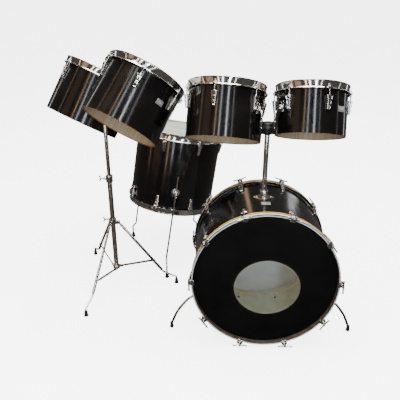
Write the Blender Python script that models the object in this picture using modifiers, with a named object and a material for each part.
"""Acoustic drum kit: a bass drum with a double tom holder, a double tom stand, four single-headed toms
and a floor tom. Metres, +Z up, the audience on the -Y side. The kit stands on z = 0.

Every drum is modelled about its own axis (+Z towards the batter head), then placed by a matrix.
Each moving piece hangs from an empty on its joint's axis.
"""

from math import atan2, cos, degrees, pi, radians, sin, sqrt

import bmesh
import bpy
from mathutils import Matrix, Vector

# ---------------------------------------------------------------- driving sizes
# Drums: outside diameter and depth of each shell.
BASS_DIAMETER = 0.6096
BASS_DEPTH = 0.381
HIGH_DIAMETER = 0.3048
HIGH_DEPTH = 0.2032
MID_DIAMETER = 0.3302
MID_DEPTH = 0.2286
LOW_DIAMETER = 0.352
LOW_DEPTH = 0.254
DEEP_DIAMETER = 0.381
DEEP_DEPTH = 0.267
FLOOR_DIAMETER = 0.4572
FLOOR_DEPTH = 0.4064

# Walls, heads and hoops.
SHELL_WALL = 0.007
HEAD_THICKNESS = 0.001
FLESH_HOOP_WALL = 0.0024
FLESH_HOOP_DEPTH = 0.009
HOOP_WALL = 0.0025
HOOP_RISE = 0.014
HOOP_DROP = 0.022
HOOP_FLANGE = 0.010
WOOD_HOOP_WALL = 0.0085
WOOD_HOOP_DEPTH = 0.038
WOOD_HOOP_PROUD = 0.022
PORT_WIDTH = 0.2825
PORT_HEIGHT = 0.261
PORT_OFFSET = (0.010, -0.0334)
BASS_TILT = radians(3.0)

# Lugs, rods and claws.
LUG_WIDTH = 0.028
LUG_LENGTH = 0.058
LUG_PROUD = 0.019
LUG_DROP = 0.055
TOM_LUG_DROP = 0.078
ROD_RADIUS = 0.003
ROD_SIDES = 6
ROD_TOP = 0.004
EAR_SIZE = (0.0135, 0.016, 0.010)
CLAW_WIDTH = 0.024
CLAW_REACH = 0.0115
T_HANDLE_LENGTH = 0.056
T_HANDLE_RADIUS = 0.0036
HANDLE_STAND_OFF = 0.018
FIRST_CLAW = 108.0
TOM_LUGS = 6
FLOOR_LUGS = 8
BASS_LUGS = 10
# Bearing straight down, about the bass drum's axis.
LOWEST = 270.0

# Tom holder on the bass drum.
POST_RADIUS = 0.011
POST_HEIGHT = 0.330
POST_X = -0.005
POST_Y = 0.017
PLATE_LENGTH = 0.100
PLATE_WIDTH = 0.070
PLATE_DEPTH = 0.030
POST_HOLE_GAP = 0.0015
SLEEVE_RISE = 0.036
CLAMP_RADIUS = 0.021
CLAMP_HEIGHT = 0.050
CLAMP_ROOF = 0.010
SOCKET_RADIUS = 0.010
SOCKET_HEIGHT = 0.054
SOCKET_OFFSET = CLAMP_RADIUS + SOCKET_RADIUS * 0.6
ARM_RADIUS = 0.0055
ARM_BEND = 0.012
BARREL_RADIUS = 0.0125
BARREL_LENGTH = 0.026
ARM_SHORT = 0.0085

# Double tom stand.
STAND_GAP = 0.424
STAND_Y = 0.285
LOWER_TUBE_RADIUS = 0.0125
TUBE_WALL = 0.002
COLLAR_WALL = 0.0055
LEAF_SIZE = (0.028, 0.0022, 0.014)
LOWER_TUBE_TOP = 0.606
MAST_RADIUS = 0.0095
MAST_TOP = 0.935
MAST_INSIDE = 0.215
LEG_PIVOT_HEIGHT = 0.359
LEG_PIVOT_RADIUS = 0.030
LEG_RADIUS = 0.0075
LEG_END = (0.245, 0.080)
FOOT_CIRCLE = 0.322
FOOT_ROD_RADIUS = 0.0048
FOOT_HEIGHT = 0.028
BRACE_PIVOT_HEIGHT = 0.092
BRACE_PIVOT_RADIUS = 0.024
BRACE_ON_LEG = 0.204
BRACE_WIDTH = 0.012
BRACE_THICKNESS = 0.003
BRACE_RELIEF = 0.0003  # how far the flats of a brace lie below its pressed round ends
LEG_ANGLES = (-108.0, -2.0, 124.0)
KNEE_OUT = 0.012
KNEE_HEIGHT = 0.050

# Floor tom legs and bass drum spurs.
FLOOR_LEG_RADIUS = 0.00475
FLOOR_LEG_STAND_OFF = 0.021
FLOOR_LEG_ABOVE = 0.095
FLOOR_LEG_KICK = 0.030
FLOOR_BRACKET_SHARE = 0.22
KICK_HEIGHT = 0.105
KICK_DROP = 0.030
KICK_BEND = 0.018
FLOOR_FOOT = (0.0105, 0.026)
FLOOR_LEG_ANGLES = (-82.4, 52.6, 142.6)
SPUR_RADIUS = 0.006
SPUR_ANGLE = radians(30.0)
SPUR_REACH = 0.150

# Where the toms hang: bearing from their post, gap to it, height of their middle and lean of their axis.
# About the tom's own axis: bearing of the first lug, then bearing and height of the bracket on the wall.
HIGH_PLACE = dict(bearing=36.0, gap=0.094, height=0.972, lean=(0.040, 0.438),
                  lug=225.0, bracket=207.0, rise=0.012)
MID_PLACE = dict(bearing=143.5, gap=0.052, height=0.970, lean=(0.079, 0.439),
                 lug=253.0, bracket=326.0, rise=0.020)
LOW_PLACE = dict(bearing=-37.7, gap=0.023, height=1.0155, lean=(0.574, 0.610),
                 lug=219.0, bracket=139.0, rise=0.0)
DEEP_PLACE = dict(bearing=112.5, gap=0.133, height=0.922, lean=(0.496, 0.401),
                  lug=224.0, bracket=302.0, rise=0.040)
FLOOR_PLACE = dict(x=-0.138, y=0.240, height=0.530, lean=(0.151, 0.130))

# Clearances.
GAP = 0.0003
SLIDE_GAP = 0.0005
TURN_GAP = 0.0006

# How far a cutter runs past what it cuts.
THROUGH = 0.05

# Facets round a turned piece.
DRUM_FACETS = 24
BASS_FACETS = 36
TUBE_FACETS = 12
ROD_FACETS = 8

# Which way a swivel's axis points.
UP = (0, 0, 1)
DOWN = (0, 0, -1)

# ---------------------------------------------------------------- collections, materials and helpers
for leftover in list(bpy.data.objects):
    bpy.data.objects.remove(leftover)

kit = bpy.data.collections.new("drum_kit")
guides = bpy.data.collections.new("cutters")
bpy.context.scene.collection.children.link(kit)
bpy.context.scene.collection.children.link(guides)

FINISHES = {
    "black_wrap": ((0.012, 0.011, 0.011), 0.16, 0.0),
    "black_lacquer": ((0.010, 0.009, 0.009), 0.22, 0.0),
    "chrome": ((0.72, 0.72, 0.70), 0.12, 1.0),
    "coated_head": ((0.55, 0.57, 0.54), 0.55, 0.0),
    "black_head": ((0.018, 0.017, 0.017), 0.5, 0.0),
    "black_casting": ((0.015, 0.015, 0.016), 0.4, 0.0),
    "rubber": ((0.012, 0.012, 0.012), 0.75, 0.0),
}


def finish_material(name):
    """The Principled material of one finish."""
    colour, roughness, metallic = FINISHES[name]
    material = bpy.data.materials.new(name)
    material.use_nodes = True
    shader = material.node_tree.nodes["Principled BSDF"]
    shader.inputs["Base Color"].default_value = (*colour, 1.0)
    shader.inputs["Roughness"].default_value = roughness
    shader.inputs["Metallic"].default_value = metallic
    return material


materials = {name: finish_material(name) for name in FINISHES}


def object_from(bm, name):
    """A mesh object made from a bmesh, kept with the cutters until it becomes a node."""
    mesh = bpy.data.meshes.new(name)
    bm.to_mesh(mesh)
    bm.free()
    made = bpy.data.objects.new(name, mesh)
    made.hide_render = True
    made.display_type = "WIRE"
    guides.objects.link(made)
    return made


def drop(helper):
    """Removes a helper once its shape has been used."""
    bpy.data.objects.remove(helper)


def baked(helper):
    """A plain closed mesh object in place of one with modifiers, or of a curve."""
    bpy.context.view_layer.update()
    evaluated = helper.evaluated_get(bpy.context.evaluated_depsgraph_get())
    bm = bmesh.new()
    bm.from_mesh(bpy.data.meshes.new_from_object(evaluated))
    bmesh.ops.remove_doubles(bm, verts=bm.verts, dist=1e-5)
    bmesh.ops.dissolve_degenerate(bm, edges=bm.edges, dist=1e-6)
    bmesh.ops.recalc_face_normals(bm, faces=bm.faces)
    bm.transform(helper.matrix_world)
    name = helper.name
    drop(helper)
    return object_from(bm, name)


def moved(helper, matrix):
    """The helper with a matrix applied to its mesh."""
    helper.data.transform(matrix)
    helper.data.update()
    return helper


def box(name, size, centre=(0, 0, 0)):
    """A block of this size about this centre."""
    bm = bmesh.new()
    bmesh.ops.create_cube(bm, size=1.0)
    bmesh.ops.scale(bm, vec=size, verts=bm.verts)
    bmesh.ops.translate(bm, vec=centre, verts=bm.verts)
    return object_from(bm, name)


def drum_between(name, start, end, radius, facets=ROD_FACETS, end_radius=None):
    """A solid cylinder, or cone, between two points."""
    start = Vector(start)
    along = Vector(end) - start
    bm = bmesh.new()
    bmesh.ops.create_cone(bm, cap_ends=True, segments=facets, radius1=radius,
                          radius2=radius if end_radius is None else end_radius, depth=along.length)
    turn = along.to_track_quat("Z", "Y").to_matrix().to_4x4()
    bm.transform(Matrix.Translation(start + along / 2) @ turn)
    return object_from(bm, name)


def turned(name, profile, facets, closed=True):
    """A profile of (radius, height) points swept once about +Z with a Screw modifier."""
    bm = bmesh.new()
    points = [bm.verts.new((radius, 0, height)) for radius, height in profile]
    for first, second in zip(points, points[1:]):
        bm.edges.new((first, second))
    if closed:
        bm.edges.new((points[-1], points[0]))
    made = object_from(bm, name)
    screw = made.modifiers.new("turn", "SCREW")
    screw.steps = facets
    screw.render_steps = facets
    screw.use_merge_vertices = True
    screw.merge_threshold = 1e-5
    return baked(made)


def ring(name, inner, outer, bottom, top, facets):
    """A plain ring with a square section."""
    return turned(name, [(outer, top), (outer, bottom), (inner, bottom), (inner, top)], facets)


def plug(name, radius, bottom, top, facets):
    """A solid cylinder whose facets line up with those of a ring."""
    return turned(name, [(0, top), (radius, top), (radius, bottom), (0, bottom)], facets, closed=False)


def bent_rod(name, points, radius, sides=2):
    """A round rod along points, as a curve with a bevel and filled caps."""
    curve = bpy.data.curves.new(name, "CURVE")
    curve.dimensions = "3D"
    curve.bevel_depth = radius
    curve.bevel_resolution = sides
    curve.use_fill_caps = True
    spline = curve.splines.new("POLY")
    spline.points.add(len(points) - 1)
    for knot, point in zip(spline.points, points):
        knot.co = (*point, 1.0)
    made = bpy.data.objects.new(name, curve)
    guides.objects.link(made)
    return baked(made)


def smoothed(points, steps=4):
    """Points of a Catmull-Rom curve through the given ones."""
    knots = [Vector(point) for point in points]
    knots = [2 * knots[0] - knots[1]] + knots + [2 * knots[-1] - knots[-2]]
    path = [knots[1]]
    for before, here, after, beyond in zip(knots, knots[1:], knots[2:], knots[3:]):
        for step in range(1, steps + 1):
            t = step / steps
            path.append(0.5 * (2 * here + (after - before) * t
                               + (2 * before - 5 * here + 4 * after - beyond) * t**2
                               + (3 * here - before - 3 * after + beyond) * t**3))
    return path


def elbow(corner, start, end, radius, steps=4):
    """Points of a round bend at a corner between two straight stretches."""
    corner = Vector(corner)
    towards_start = (Vector(start) - corner).normalized()
    towards_end = (Vector(end) - corner).normalized()
    half = towards_start.angle(towards_end) / 2
    reach = radius / sin(half) * cos(half)
    centre = corner + (towards_start + towards_end).normalized() * radius / sin(half)
    first = corner + towards_start * reach - centre
    last = corner + towards_end * reach - centre
    sweep = first.angle(last)
    points = []
    for step in range(steps + 1):
        t = step / steps
        points.append(centre + (first * sin((1 - t) * sweep) + last * sin(t * sweep)) / sin(sweep))
    return points


def together(name, helpers):
    """Several separate helpers as one mesh, ready for one Boolean."""
    bm = bmesh.new()
    for helper in helpers:
        bm.from_mesh(helper.data)
        drop(helper)
    return object_from(bm, name)


def combine(base, tool, operation):
    """The base with a tool added (UNION) or taken away (DIFFERENCE)."""
    boolean = base.modifiers.new("boolean", "BOOLEAN")
    boolean.operation = operation
    boolean.solver = "EXACT"
    boolean.object = tool
    result = baked(base)
    drop(tool)
    return result


def joined(base, *tools):
    """The base united with each tool in turn."""
    for tool in tools:
        base = combine(base, tool, "UNION")
    return base


def without(base, *tools):
    """The base with each tool cut from it in turn."""
    for tool in tools:
        base = combine(base, tool, "DIFFERENCE")
    return base


def pivot(name, place, axis=UP, parent=None):
    """An empty on a joint's axis, with its own +Z along the axis."""
    made = bpy.data.objects.new(name, None)
    made.empty_display_size = 0.03
    turn = Vector(axis).to_track_quat("Z", "Y").to_matrix().to_4x4()
    made.matrix_world = Matrix.Translation(Vector(place)) @ turn
    kit.objects.link(made)
    hang(made, parent)
    return made


def hang(piece, parent):
    """Parents a piece where it is."""
    if parent is None:
        return
    bpy.context.view_layer.update()
    place = piece.matrix_world.copy()
    piece.parent = parent
    piece.matrix_parent_inverse = parent.matrix_world.inverted()
    piece.matrix_world = place


def node(helper, name, finish, parent):
    """Makes a finished helper a named node of the kit, with its origin on its parent's axis."""
    bpy.context.view_layer.update()
    origin = parent.matrix_world.copy()
    helper.data.transform(origin.inverted())
    helper.matrix_world = origin
    helper.name = name
    helper.data.name = name
    helper.hide_render = False
    helper.display_type = "TEXTURED"
    helper.data.shade_smooth()
    helper.data.set_sharp_from_angle(angle=radians(35))
    helper.data.materials.clear()
    helper.data.materials.append(materials[finish])
    guides.objects.unlink(helper)
    kit.objects.link(helper)
    hang(helper, parent)
    return helper


def polar(radius, degrees_round, height=0.0):
    """A point at this radius and bearing."""
    return Vector((radius * cos(radians(degrees_round)), radius * sin(radians(degrees_round)), height))


def leaning_frame(centre, lean, spin=0.0):
    """A drum's matrix: its axis runs along (lean x, lean y, 1) and spin turns it about that axis."""
    axis = Vector((*lean, 1.0)).normalized()
    across = (Vector((1, 0, 0)) - axis * axis.x).normalized()
    behind = axis.cross(across)
    turn = Matrix((across, behind, axis)).transposed().to_4x4()
    return Matrix.Translation(Vector(centre)) @ turn @ Matrix.Rotation(radians(spin), 4, "Z")


# ---------------------------------------------------------------- pieces that every drum shares
def shell_body(radius, depth, facets):
    """A round shell, open at both ends."""
    return ring("shell", radius - SHELL_WALL, radius, -depth / 2, depth / 2, facets)


def lug(radius, angle, height, upward):
    """A shield-shaped lug on the shell wall, wide end towards its rod."""
    bm = bmesh.new()
    bmesh.ops.create_cube(bm, size=1.0)
    for vertex in bm.verts:
        wide_end = (vertex.co.z > 0) == upward
        vertex.co.y *= LUG_WIDTH if wide_end else LUG_WIDTH * 0.55
        outer = vertex.co.x > 0
        vertex.co.x = (LUG_PROUD if wide_end else LUG_PROUD * 0.5) if outer else -0.002
        vertex.co.z *= LUG_LENGTH
    bm.transform(Matrix.Rotation(radians(angle), 4, "Z") @ Matrix.Translation((radius, 0, height)))
    return object_from(bm, "lug")


def drum_head(radius, facets):
    """A head: a thin skin over the edge with its hoop down the outside of the shell, at z = 0."""
    outer = radius + GAP + FLESH_HOOP_WALL
    inner = radius + GAP
    top = GAP + HEAD_THICKNESS
    return turned("head", [(0, top), (outer, top), (outer, -FLESH_HOOP_DEPTH), (inner, -FLESH_HOOP_DEPTH),
                           (inner, GAP), (0, GAP)], facets, closed=False)


def metal_hoop(radius, lug_count, first_angle, rod_end, facets):
    """A flanged hoop at z = 0 with an ear and a tension rod for each lug, the rods ending above the lugs."""
    inner = radius + 2 * GAP + FLESH_HOOP_WALL
    wall = inner + HOOP_WALL
    flange = inner + HOOP_FLANGE
    body = turned("hoop", [(wall, HOOP_RISE), (wall, HOOP_WALL - HOOP_DROP), (flange, HOOP_WALL - HOOP_DROP),
                           (flange, -HOOP_DROP), (inner, -HOOP_DROP), (inner, HOOP_RISE)], facets)
    rods = []
    for index in range(lug_count):
        angle = first_angle + index * 360 / lug_count
        foot = polar(flange - ROD_RADIUS, angle, rod_end)
        head = polar(flange - ROD_RADIUS, angle, ROD_TOP)
        rod = drum_between("rod", foot, head, ROD_RADIUS, ROD_SIDES)
        ear_middle = (inner + EAR_SIZE[0] / 2 + HOOP_WALL / 2, 0, EAR_SIZE[2] / 2 - HOOP_DROP - GAP)
        ear = box("ear", EAR_SIZE, ear_middle)
        rods.append(joined(moved(ear, Matrix.Rotation(radians(angle), 4, "Z")), rod))
    return joined(body, together("rods", rods))


def hoop_and_head(name, radius, end, upward, lug_count, first_angle, lug_drop, frame, parent):
    """The metal hoop and the head at one end of a shell."""
    rod_end = LUG_LENGTH / 2 - lug_drop + GAP
    flip = Matrix.Translation((0, 0, end)) @ (Matrix.Identity(4) if upward else Matrix.Rotation(pi, 4, "X"))
    angle = first_angle if upward else -first_angle
    hoop = metal_hoop(radius, lug_count, angle, rod_end, DRUM_FACETS)
    node(moved(hoop, frame @ flip), f"{name}_hoop", "chrome", parent)
    node(moved(drum_head(radius, DRUM_FACETS), frame @ flip), f"{name}_head", "coated_head", parent)


# ---------------------------------------------------------------- bass drum
bass_radius = BASS_DIAMETER / 2
wood_inner = bass_radius + 2 * GAP + FLESH_HOOP_WALL
wood_outer = wood_inner + WOOD_HOOP_WALL
hoop_front = BASS_DEPTH / 2 + WOOD_HOOP_PROUD
bass_height = wood_outer * cos(BASS_TILT) + hoop_front * sin(BASS_TILT)
bass_frame = Matrix(((1, 0, 0, 0),
                     (0, sin(BASS_TILT), -cos(BASS_TILT), 0),
                     (0, cos(BASS_TILT), sin(BASS_TILT), bass_height),
                     (0, 0, 0, 1)))
to_rear = Matrix.Rotation(pi, 4, "Y")


def claw(angle):
    """A claw over the hoop's front edge with its T-rod, back to the lug. The lowest handles lie level."""
    rod_radius = wood_outer + CLAW_REACH * 0.55
    lug_face = BASS_DEPTH / 2 - LUG_DROP + LUG_LENGTH / 2
    bridge = box("bridge", (CLAW_REACH + 0.002, CLAW_WIDTH, 0.030),
                 (wood_outer + CLAW_REACH / 2 - 0.001, 0, hoop_front - 0.012))
    hook = box("hook", (0.020, CLAW_WIDTH * 0.8, 0.005), (wood_outer - 0.004, 0, hoop_front + 0.0015))
    handle_height = hoop_front + HANDLE_STAND_OFF
    rod = drum_between("rod", (rod_radius, 0, lug_face + GAP), (rod_radius, 0, handle_height), ROD_RADIUS,
                       ROD_SIDES)
    lowest = abs(LOWEST - angle) <= 180 / BASS_LUGS
    level = radians(LOWEST - angle) if lowest else 0.0
    handle = box("handle", (2 * T_HANDLE_RADIUS, T_HANDLE_LENGTH, 2 * T_HANDLE_RADIUS))
    moved(handle, Matrix.Translation((rod_radius, 0, handle_height)) @ Matrix.Rotation(level, 4, "Z"))
    return moved(joined(bridge, hook, rod, handle), Matrix.Rotation(radians(angle), 4, "Z"))


def wood_hoop():
    """A wooden bass drum hoop with its ten claws and T-rods, for the front end."""
    body = ring("wood_hoop", wood_inner, wood_outer, hoop_front - WOOD_HOOP_DEPTH, hoop_front, BASS_FACETS)
    claws = [claw(FIRST_CLAW + index * 360 / BASS_LUGS) for index in range(BASS_LUGS)]
    return joined(body, together("claws", claws))


def spur_foot_point(side):
    """Where a spur's tip stands."""
    return Vector((side * (bass_radius * cos(SPUR_ANGLE) + SPUR_REACH), -0.090, 0.0))


def spur_pivot_point(side):
    """The middle of a spur's bracket, on the lower side of the shell."""
    reach = bass_radius + 0.014
    return Vector((side * reach * cos(SPUR_ANGLE), -0.045, bass_height - reach * sin(SPUR_ANGLE)))


def spur_bracket(side):
    """The boss on the shell that a spur turns in."""
    centre = spur_pivot_point(side)
    inward = Vector((-side * cos(SPUR_ANGLE), 0, sin(SPUR_ANGLE)))
    return drum_between("spur_bracket", centre - inward * 0.002, centre + inward * 0.017, 0.018, TUBE_FACETS)


def build_bass_drum():
    """The bass drum with its hoops, heads, lugs and spurs."""
    root = pivot("bass_drum_centre", (0, 0, bass_height))
    shell = shell_body(bass_radius, BASS_DEPTH, BASS_FACETS)
    lug_height = BASS_DEPTH / 2 - LUG_DROP
    lugs = []
    for index in range(BASS_LUGS):
        angle = FIRST_CLAW + index * 360 / BASS_LUGS
        lugs.append(lug(bass_radius, angle, lug_height, True))
        lugs.append(lug(bass_radius, angle, -lug_height, False))
    shell = moved(joined(shell, together("lugs", lugs)), bass_frame)
    shell = joined(shell, spur_bracket(-1), spur_bracket(1))
    above_shell = (POST_X, POST_Y, bass_height + bass_radius + THROUGH)
    post_hole = drum_between("post_hole", (POST_X, POST_Y, bass_height), above_shell,
                             POST_RADIUS + POST_HOLE_GAP, TUBE_FACETS)
    node(without(shell, post_hole), "bass_shell", "black_wrap", root)
    node(moved(wood_hoop(), bass_frame), "bass_front_hoop", "black_lacquer", root)
    node(moved(wood_hoop(), bass_frame @ to_rear), "bass_rear_hoop", "black_lacquer", root)
    outer = bass_radius + GAP + FLESH_HOOP_WALL
    inner = bass_radius + GAP
    edge = BASS_DEPTH / 2 + GAP
    front = turned("front_head", [(0, edge + HEAD_THICKNESS), (outer, edge + HEAD_THICKNESS),
                                  (outer, edge - FLESH_HOOP_DEPTH), (inner, edge - FLESH_HOOP_DEPTH),
                                  (inner, edge), (0, edge)], BASS_FACETS, closed=False)
    port = plug("port", 1.0, edge - FLESH_HOOP_DEPTH, edge + FLESH_HOOP_DEPTH, BASS_FACETS)
    oval = Matrix.Diagonal((PORT_WIDTH / 2, PORT_HEIGHT / 2, 1, 1))
    moved(port, Matrix.Translation((*PORT_OFFSET, 0)) @ oval)
    node(moved(without(front, port), bass_frame), "bass_front_head", "black_head", root)
    rear_end = bass_frame @ to_rear @ Matrix.Translation((0, 0, BASS_DEPTH / 2))
    node(moved(drum_head(bass_radius, BASS_FACETS), rear_end), "bass_rear_head", "coated_head", root)
    for side, name in ((-1, "left"), (1, "right")):
        build_spur(side, name, root)
    return root


def build_spur(side, name, root):
    """A curved spur that swings on its bracket, its tip on the floor."""
    start = spur_pivot_point(side)
    foot = spur_foot_point(side)
    outward = Vector((side * cos(SPUR_ANGLE), 0, -sin(SPUR_ANGLE)))
    start = start + outward * (0.002 + GAP)
    rise = start.z
    span = foot.x - start.x
    path = [start + outward * 0.006,
            Vector((start.x + span * 0.42, start.y - 0.018, rise * 0.86)),
            Vector((start.x + span * 0.78, start.y - 0.036, rise * 0.53)),
            Vector((foot.x, foot.y, 0.024))]
    swing = pivot(f"spur_{name}_pivot", start, -side * outward, root)
    rod = bent_rod("rod", smoothed(path), SPUR_RADIUS)
    boss = drum_between("boss", start, start + outward * 0.012, 0.013, TUBE_FACETS)
    tip = drum_between("tip", foot, foot + Vector((0, 0, 0.028)), 0.009, TUBE_FACETS)
    node(joined(boss, rod, tip), f"spur_{name}", "chrome", swing)


# ---------------------------------------------------------------- toms on their arms
def place_on(post, place, radius):
    """The middle of a tom that hangs off a post."""
    middle = polar(radius + place["gap"], place["bearing"])
    return Vector((post[0] + middle.x, post[1] + middle.y, place["height"]))


def build_arm(name, arm, bottom, wall, parent, swivel):
    """An L-shaped arm: upright in the clamp's socket, level into the tom's bracket."""
    corner = Vector((arm[0], arm[1], wall.z))
    level = (wall - corner).normalized()
    end = wall - level * ARM_SHORT
    start = Vector((arm[0], arm[1], bottom))
    points = [start, *elbow(corner, start, end, ARM_BEND), end]
    turn = pivot(f"arm_{name}_pivot", start, swivel, parent)
    node(bent_rod("arm", points, ARM_RADIUS, sides=1), f"arm_{name}", "chrome", turn)
    return turn, level


def build_tom(name, diameter, depth, frame, first_lug, parent, wall, level):
    """A single-headed tom with its bracket, which tilts about the arm's level end."""
    radius = diameter / 2
    tilt = pivot(f"tom_{name}_pivot", wall - level * 0.020, level, parent)
    shell = shell_body(radius, depth, DRUM_FACETS)
    height = depth / 2 - TOM_LUG_DROP
    lugs = [lug(radius, first_lug + index * 360 / TOM_LUGS, height, True) for index in range(TOM_LUGS)]
    shell = moved(joined(shell, together("lugs", lugs)), frame)
    node(shell, f"tom_{name}_shell", "black_wrap", tilt)
    normal = (frame.inverted() @ wall)
    bearing = degrees(atan2(normal.y, normal.x))
    plate = moved(box("plate", (0.005, 0.034, 0.046), (radius + 0.0028, 0, normal.z)),
                  Matrix.Rotation(radians(bearing), 4, "Z"))
    plate = moved(plate, frame)
    barrel_end = wall - level * BARREL_LENGTH
    barrel = drum_between("barrel", wall - level * 0.001, barrel_end, BARREL_RADIUS, TUBE_FACETS)
    bore_start = wall - level * (ARM_SHORT - SLIDE_GAP)
    bore = drum_between("bore", bore_start, wall - level * THROUGH, ARM_RADIUS + SLIDE_GAP, TUBE_FACETS)
    keep_off = moved(ring("keep_off", radius - 0.05, radius + GAP, -depth, depth, DRUM_FACETS), frame)
    bracket = without(joined(plate, barrel), keep_off, bore)
    node(bracket, f"tom_{name}_bracket", "chrome", tilt)
    hoop_and_head(f"tom_{name}", radius, depth / 2, True, TOM_LUGS, first_lug, TOM_LUG_DROP, frame, tilt)
    return tilt


def clamp_body(centre, height, bore_radius, sockets):
    """A casting bored for its post, with an upright socket for each arm."""
    top = height + CLAMP_HEIGHT
    body = drum_between("clamp", (*centre, height), (*centre, top), CLAMP_RADIUS, TUBE_FACETS)
    bore = bore_radius + SLIDE_GAP
    bores = [drum_between("bore", (*centre, height - 0.01), (*centre, top - CLAMP_ROOF), bore, TUBE_FACETS)]
    for socket in sockets:
        socket_top = height + SOCKET_HEIGHT
        tube = drum_between("socket", (*socket, height), (*socket, socket_top), SOCKET_RADIUS, TUBE_FACETS)
        body = joined(body, tube)
        bores.append(drum_between("bore", (*socket, height - 0.01), (*socket, socket_top + 0.01),
                                  ARM_RADIUS + SLIDE_GAP, TUBE_FACETS))
    return without(body, *bores)


def wing_screw(start, direction, spread):
    """A wing screw: a short stem and two flat wings."""
    start = Vector(start)
    direction = Vector(direction).normalized()
    stem = drum_between("stem", start, start + direction * 0.020, 0.004, ROD_FACETS)
    hub = start + direction * 0.018
    side = direction.cross(Vector((0, 0, 1))).normalized()
    up = side.cross(direction)
    turn = Matrix((direction, side, up)).transposed().to_4x4()
    wings = moved(box("wings", (0.012, 0.004, spread)), Matrix.Translation(hub) @ turn)
    return joined(stem, wings)


def build_holder(root):
    """The holder on top of the bass drum: plate, wing screw, sliding post, clamp and two arms."""
    post = (POST_X, POST_Y)
    shell_top = bass_height + sqrt(bass_radius**2 - POST_X**2) / cos(BASS_TILT) + POST_Y * sin(BASS_TILT)
    bm = bmesh.new()
    bmesh.ops.create_cone(bm, cap_ends=True, segments=4, radius1=PLATE_LENGTH / 2, radius2=PLATE_LENGTH * 0.42,
                          depth=PLATE_DEPTH)
    bmesh.ops.scale(bm, vec=(1, PLATE_WIDTH / PLATE_LENGTH, 1), verts=bm.verts)
    bm.transform(Matrix.Translation((*post, shell_top - 0.009)))
    plate = object_from(bm, "plate")
    sleeve_top = shell_top + SLEEVE_RISE
    screw_height = sleeve_top - 0.010
    sleeve = drum_between("sleeve", (*post, shell_top), (*post, sleeve_top), POST_RADIUS + 0.006, TUBE_FACETS)
    boss = drum_between("boss", (POST_X, POST_Y - POST_RADIUS - 0.002, screw_height),
                        (POST_X, POST_Y - POST_RADIUS - 0.014, screw_height), 0.007, ROD_FACETS)
    shell_cut = plug("shell_cut", bass_radius + GAP, -BASS_DEPTH / 2, BASS_DEPTH / 2, BASS_FACETS)
    moved(shell_cut, bass_frame)
    bore = drum_between("bore", (*post, shell_top - THROUGH), (*post, sleeve_top + THROUGH),
                        POST_RADIUS + SLIDE_GAP, TUBE_FACETS)
    node(without(joined(plate, sleeve, boss), shell_cut, bore), "holder_plate", "chrome", root)
    screw_start = Vector((POST_X, POST_Y - POST_RADIUS - 0.014 - GAP, screw_height))
    turn = pivot("holder_wing_pivot", screw_start, (0, -1, 0), root)
    node(wing_screw(screw_start, (0, -1, 0), 0.034), "holder_wing", "chrome", turn)

    post_top = shell_top + POST_HEIGHT
    slide = pivot("holder_post_slide", (*post, post_top), (0, 0, 1), root)
    node(drum_between("post", (*post, shell_top - 0.090), (*post, post_top), POST_RADIUS, TUBE_FACETS),
         "holder_post", "chrome", slide)
    clamp_bottom = post_top - CLAMP_HEIGHT + CLAMP_ROOF + GAP
    turn = pivot("holder_clamp_pivot", (*post, post_top), UP, slide)
    sockets = ((POST_X - SOCKET_OFFSET, POST_Y), (POST_X + SOCKET_OFFSET, POST_Y))
    node(clamp_body(post, clamp_bottom, POST_RADIUS, sockets), "holder_clamp", "black_casting", turn)
    hang_tom("mid", MID_DIAMETER, MID_DEPTH, MID_PLACE, post, sockets[0], clamp_bottom, turn, UP)
    hang_tom("high", HIGH_DIAMETER, HIGH_DEPTH, HIGH_PLACE, post, sockets[1], clamp_bottom, turn, UP)


def hang_tom(name, diameter, depth, place, post, arm, arm_bottom, parent, swivel):
    """One arm and the tom that hangs from it."""
    radius = diameter / 2
    frame = leaning_frame(place_on(post, place, radius), place["lean"])
    wall = frame @ polar(radius, place["bracket"], place["rise"])
    turn, level = build_arm(name, arm, arm_bottom, wall, parent, swivel)
    build_tom(name, diameter, depth, frame, place["lug"], turn, wall, level)


# ---------------------------------------------------------------- tom stand
stand_x = -(wood_outer + STAND_GAP)


def leg_plane(angle):
    """The matrix that turns a leg's own upright plane, about the stand's tube, to this bearing."""
    return Matrix.Translation((stand_x, STAND_Y, 0)) @ Matrix.Rotation(radians(angle), 4, "Z")


def ears(centre_height, pivot_radius, angle, leaf_gap):
    """Two upright ears that a leg or a brace turns between, either side of a radial plane."""
    leaves = []
    for side in (-1, 1):
        leaf = box("leaf", (pivot_radius - LOWER_TUBE_RADIUS + 0.004, 0.0025, 0.016),
                   ((pivot_radius + LOWER_TUBE_RADIUS) / 2 + 0.004, side * (leaf_gap + 0.00125), centre_height))
        leaves.append(leaf)
    return moved(together("ears", leaves), leg_plane(angle))


def stand_point(angle, radius, height, sideways=0.0):
    """A point in the upright plane of one leg."""
    turn = Matrix.Rotation(radians(angle), 3, "Z")
    return Vector((stand_x, STAND_Y, 0)) + turn @ Vector((radius, sideways, height))


def stand_ring(name, bottom, top, inner, outer):
    """A ring round the stand's tube."""
    made = ring(name, inner, outer, bottom, top, TUBE_FACETS)
    return moved(made, Matrix.Translation((stand_x, STAND_Y, 0)))


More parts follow.
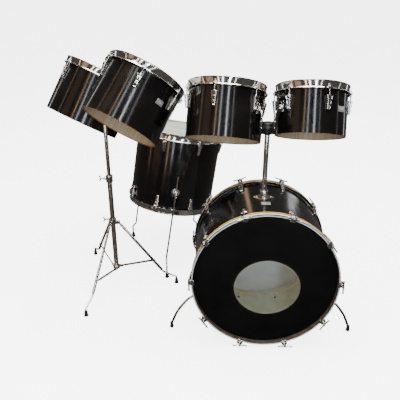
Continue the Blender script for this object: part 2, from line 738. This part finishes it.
def build_stand_leg(index, angle, collar):
    """One leg: a tube from the collar, then a curved rod to its rubber foot."""
    number = index + 1
    top = stand_point(angle, LEG_PIVOT_RADIUS, LEG_PIVOT_HEIGHT)
    end = stand_point(angle, *LEG_END)
    along = (end - top).normalized()
    sideways = Matrix.Rotation(radians(angle), 3, "Z") @ Vector((0, 1, 0))
    turn = pivot(f"leg_{number}_pivot", top, sideways, collar)
    eye = drum_between("eye", top - sideways * 0.0040, top + sideways * 0.0040, 0.0075, ROD_FACETS)
    tube = drum_between("tube", top + along * 0.004, end, LEG_RADIUS, ROD_FACETS)
    tube_cut = stand_ring("tube_cut", LEG_PIVOT_HEIGHT - THROUGH, LEG_PIVOT_HEIGHT + THROUGH, 0.001,
                          LEG_PIVOT_RADIUS - 0.012)
    flats = []
    for side in (-1, 1):
        flat = box("flat", (0.060, 0.010, 0.060), (0, side * (0.0045 + 0.005), 0))
        flats.append(moved(flat, Matrix.Translation(top) @ Matrix.Rotation(radians(angle), 4, "Z")))
    leg = without(joined(eye, tube), together("flats", flats), tube_cut)
    foot = stand_point(angle, FOOT_CIRCLE, 0.0)
    foot_top = foot + Vector((0, 0, FOOT_HEIGHT))
    knee = stand_point(angle, (LEG_END[0] + FOOT_CIRCLE) / 2 + KNEE_OUT, KNEE_HEIGHT)
    toe = smoothed([end - along * 0.02, end + along * 0.010, knee, foot_top + Vector((0, 0, 0.012))], 3)
    toe.append(foot_top + Vector((0, 0, GAP)))
    leg = joined(leg, bent_rod("toe", toe, FOOT_ROD_RADIUS, sides=1))
    node(leg, f"leg_{number}", "chrome", turn)
    node(drum_between("foot", foot, foot_top, 0.0095, ROD_FACETS), f"leg_{number}_foot", "rubber", turn)
    return turn


def leg_line_height(radius):
    """Height of a leg's centre line at this distance from the tube."""
    slope = (LEG_END[1] - LEG_PIVOT_HEIGHT) / (LEG_END[0] - LEG_PIVOT_RADIUS)
    return LEG_PIVOT_HEIGHT + slope * (radius - LEG_PIVOT_RADIUS)


def build_brace(index, angle, base):
    """A flat brace from the ring at the tube's foot to the side of its leg."""
    number = index + 1
    offset = LEG_RADIUS + TURN_GAP + BRACE_THICKNESS / 2
    inner = stand_point(angle, BRACE_PIVOT_RADIUS, BRACE_PIVOT_HEIGHT, offset)
    outer = stand_point(angle, BRACE_ON_LEG, leg_line_height(BRACE_ON_LEG), offset)
    sideways = Matrix.Rotation(radians(angle), 3, "Z") @ Vector((0, 1, 0))
    turn = pivot(f"brace_{number}_pivot", inner, sideways, base)
    along = (outer - inner).normalized()
    upward = sideways.cross(along)
    frame = Matrix((along, sideways, upward)).transposed().to_4x4()
    length = (outer - inner).length
    strip = box("strip", (length, BRACE_THICKNESS - 2 * BRACE_RELIEF, BRACE_WIDTH - 2 * BRACE_RELIEF),
                (length / 2, 0, 0))
    moved(strip, Matrix.Translation(inner) @ frame)
    half = sideways * BRACE_THICKNESS / 2
    ends = [drum_between("end", point - half, point + half, BRACE_WIDTH / 2, ROD_FACETS)
            for point in (inner, outer)]
    rivet = drum_between("rivet", outer + sideways * 0.001, outer + sideways * 0.0045, 0.004, ROD_FACETS)
    node(joined(strip, *ends, rivet), f"brace_{number}", "chrome", turn)
    return turn


def build_stand(root):
    """The double tom stand: tube with tripod, telescoping mast, clamp, two arms and their toms."""
    centre = (stand_x, STAND_Y)
    base = pivot("stand_base", (*centre, 0), (0, -1, 0), root)
    tube = stand_ring("tube", BRACE_PIVOT_HEIGHT - 0.012, LOWER_TUBE_TOP, LOWER_TUBE_RADIUS - TUBE_WALL,
                      LOWER_TUBE_RADIUS)
    foot_ring = stand_ring("foot_ring", BRACE_PIVOT_HEIGHT - 0.010, BRACE_PIVOT_HEIGHT + 0.008,
                           LOWER_TUBE_RADIUS - 0.001, LOWER_TUBE_RADIUS + COLLAR_WALL)
    top_collar = stand_ring("top_collar", LOWER_TUBE_TOP - 0.022, LOWER_TUBE_TOP + 0.014,
                            MAST_RADIUS + SLIDE_GAP, LOWER_TUBE_RADIUS + COLLAR_WALL)
    boss_height = LOWER_TUBE_TOP - 0.004
    boss = drum_between("boss", (stand_x - LOWER_TUBE_RADIUS - 0.002, STAND_Y, boss_height),
                        (stand_x - LOWER_TUBE_RADIUS - 0.016, STAND_Y, boss_height), 0.007, ROD_FACETS)
    tube = joined(tube, foot_ring, top_collar, boss)
    brace_offset = LEG_RADIUS + TURN_GAP + BRACE_THICKNESS / 2
    for angle in LEG_ANGLES:
        leaves = []
        for side in (-1, 1):
            leaf_y = brace_offset + side * (BRACE_THICKNESS / 2 + TURN_GAP + LEAF_SIZE[1] / 2)
            leaves.append(box("leaf", LEAF_SIZE, (LOWER_TUBE_RADIUS + 0.007, leaf_y, BRACE_PIVOT_HEIGHT)))
        tube = joined(tube, moved(together("leaves", leaves), leg_plane(angle)))
    mast_bore = stand_ring("mast_bore", BRACE_PIVOT_HEIGHT, LOWER_TUBE_TOP + THROUGH, 0.0001,
                           MAST_RADIUS + SLIDE_GAP)
    node(without(tube, mast_bore), "stand_tube", "chrome", base)

    screw_start = Vector((stand_x - LOWER_TUBE_RADIUS - 0.016 - GAP, STAND_Y, boss_height))
    turn = pivot("mast_wing_pivot", screw_start, (-1, 0, 0), base)
    node(wing_screw(screw_start, (-1, 0, 0), 0.030), "mast_wing", "chrome", turn)

    collar = pivot("leg_collar_slide", (*centre, LEG_PIVOT_HEIGHT), (0, 0, 1), base)
    body = stand_ring("collar", LEG_PIVOT_HEIGHT - 0.008, LEG_PIVOT_HEIGHT + 0.024,
                      LOWER_TUBE_RADIUS + SLIDE_GAP, LOWER_TUBE_RADIUS + COLLAR_WALL)
    for angle in LEG_ANGLES:
        body = joined(body, ears(LEG_PIVOT_HEIGHT, LEG_PIVOT_RADIUS, angle, 0.0046 + TURN_GAP))
    wing_height = LEG_PIVOT_HEIGHT + 0.016
    boss = drum_between("boss", (stand_x - LOWER_TUBE_RADIUS - 0.003, STAND_Y, wing_height),
                        (stand_x - LOWER_TUBE_RADIUS - 0.014, STAND_Y, wing_height), 0.006, ROD_FACETS)
    node(joined(body, boss), "leg_collar", "chrome", collar)
    screw_start = Vector((stand_x - LOWER_TUBE_RADIUS - 0.014 - GAP, STAND_Y, wing_height))
    turn = pivot("collar_wing_pivot", screw_start, (-1, 0, 0), collar)
    node(wing_screw(screw_start, (-1, 0, 0), 0.028), "collar_wing", "chrome", turn)
    for index, angle in enumerate(LEG_ANGLES):
        build_stand_leg(index, angle, collar)
        build_brace(index, angle, base)

    mast = pivot("mast_slide", (*centre, MAST_TOP), (0, 0, 1), base)
    mast_foot = (*centre, LOWER_TUBE_TOP - MAST_INSIDE)
    tube = drum_between("mast", mast_foot, (*centre, MAST_TOP), MAST_RADIUS, TUBE_FACETS)
    node(tube, "stand_mast", "chrome", mast)
    turn = pivot("stand_clamp_pivot", (*centre, MAST_TOP), DOWN, mast)
    clamp_bottom = MAST_TOP - CLAMP_HEIGHT + CLAMP_ROOF + GAP
    away = LOW_PLACE["bearing"] + 180
    low_socket = polar(SOCKET_OFFSET, away + 45)
    deep_socket = polar(SOCKET_OFFSET, away - 45)
    sockets = [(stand_x + socket.x, STAND_Y + socket.y) for socket in (low_socket, deep_socket)]
    node(clamp_body(centre, clamp_bottom, MAST_RADIUS, sockets), "stand_clamp", "black_casting", turn)
    hang_tom("low", LOW_DIAMETER, LOW_DEPTH, LOW_PLACE, centre, sockets[0], clamp_bottom, turn, DOWN)
    hang_tom("deep", DEEP_DIAMETER, DEEP_DEPTH, DEEP_PLACE, centre, sockets[1], clamp_bottom, turn, DOWN)


# ---------------------------------------------------------------- floor tom
floor_radius = FLOOR_DIAMETER / 2
floor_bracket_height = -FLOOR_DEPTH * FLOOR_BRACKET_SHARE
floor_centre = Vector((FLOOR_PLACE["x"] - bass_radius, BASS_DEPTH / 2 + FLOOR_PLACE["y"] + floor_radius,
                       FLOOR_PLACE["height"]))


def build_floor_leg(index, angle, frame, root):
    """One floor tom leg, straight through its bracket, then kicked out to a rubber foot."""
    number = index + 1
    reach = floor_radius + FLOOR_LEG_STAND_OFF
    axis = frame.to_3x3() @ Vector((0, 0, 1))
    seat = frame @ polar(reach, angle, floor_bracket_height)
    outward = frame.to_3x3() @ polar(1.0, angle)
    outward.z = 0
    outward.normalize()
    top = seat + axis * FLOOR_LEG_ABOVE
    kick_start = seat - axis * ((seat.z - KICK_HEIGHT) / axis.z)
    kick_end = kick_start + outward * FLOOR_LEG_KICK - Vector((0, 0, KICK_DROP))
    foot_top = Vector((kick_end.x, kick_end.y, FLOOR_FOOT[1] + GAP))
    slide = pivot(f"floor_leg_{number}_slide", seat, axis, root)
    path = [top, *elbow(kick_start, top, kick_end, KICK_BEND, 2),
            *elbow(kick_end, kick_start, foot_top, KICK_BEND, 2), foot_top]
    node(bent_rod("leg", path, FLOOR_LEG_RADIUS, sides=1), f"floor_leg_{number}", "chrome", slide)
    foot = drum_between("foot", foot_top - Vector((0, 0, FLOOR_FOOT[1] + GAP)), foot_top - Vector((0, 0, GAP)),
                        FLOOR_FOOT[0], ROD_FACETS)
    node(foot, f"floor_leg_{number}_foot", "rubber", slide)
    screw_start = frame @ polar(reach + 0.012 + GAP, angle, floor_bracket_height)
    out = frame.to_3x3() @ polar(1.0, angle)
    turn = pivot(f"floor_screw_{number}_pivot", screw_start, out, root)
    node(wing_screw(screw_start, out, 0.030), f"floor_screw_{number}", "chrome", turn)


def build_floor_tom(root):
    """The floor tom: shell with sixteen lugs and three leg brackets, two hoops, two heads and three legs."""
    frame = leaning_frame(floor_centre, FLOOR_PLACE["lean"])
    place = pivot("floor_tom_place", (floor_centre.x, floor_centre.y, 0), (1, 0, 0), root)
    shell = shell_body(floor_radius, FLOOR_DEPTH, DRUM_FACETS)
    lug_height = FLOOR_DEPTH / 2 - LUG_DROP
    first_lug = FLOOR_LEG_ANGLES[0] + 180 / FLOOR_LUGS
    lugs = []
    for index in range(FLOOR_LUGS):
        lugs.append(lug(floor_radius, first_lug + index * 360 / FLOOR_LUGS, lug_height, True))
        lugs.append(lug(floor_radius, first_lug + index * 360 / FLOOR_LUGS, -lug_height, False))
    brackets = []
    for angle in FLOOR_LEG_ANGLES:
        inner = polar(floor_radius - 0.004, angle, floor_bracket_height)
        outer = polar(floor_radius + FLOOR_LEG_STAND_OFF + 0.012, angle, floor_bracket_height)
        block = drum_between("block", inner, outer, 0.016, TUBE_FACETS)
        reach = floor_radius + FLOOR_LEG_STAND_OFF
        bore = drum_between("bore", polar(reach, angle, floor_bracket_height - THROUGH),
                            polar(reach, angle, floor_bracket_height + THROUGH), FLOOR_LEG_RADIUS + SLIDE_GAP,
                            TUBE_FACETS)
        brackets.append(without(block, bore))
    shell = joined(shell, together("lugs", lugs + brackets))
    node(moved(shell, frame), "floor_shell", "black_wrap", place)
    for upward, name in ((True, "floor_top"), (False, "floor_bottom")):
        end = FLOOR_DEPTH / 2 if upward else -FLOOR_DEPTH / 2
        hoop_and_head(name, floor_radius, end, upward, FLOOR_LUGS, first_lug, LUG_DROP, frame, place)
    for index, angle in enumerate(FLOOR_LEG_ANGLES):
        build_floor_leg(index, angle, frame, place)


# ---------------------------------------------------------------- the whole kit
def centre_kit(root):
    """Moves the kit so that its box is centred on the origin and stands on z = 0."""
    bpy.context.view_layer.update()
    points = [piece.matrix_world @ vertex.co for piece in kit.objects if piece.type == "MESH"
              for vertex in piece.data.vertices]
    low = [min(point[axis] for point in points) for axis in range(3)]
    high = [max(point[axis] for point in points) for axis in range(3)]
    root.location -= Vector(((low[0] + high[0]) / 2, (low[1] + high[1]) / 2, low[2]))
    bpy.context.view_layer.update()


kit_root = build_bass_drum()
build_holder(kit_root)
build_stand(kit_root)
build_floor_tom(kit_root)
centre_kit(kit_root)
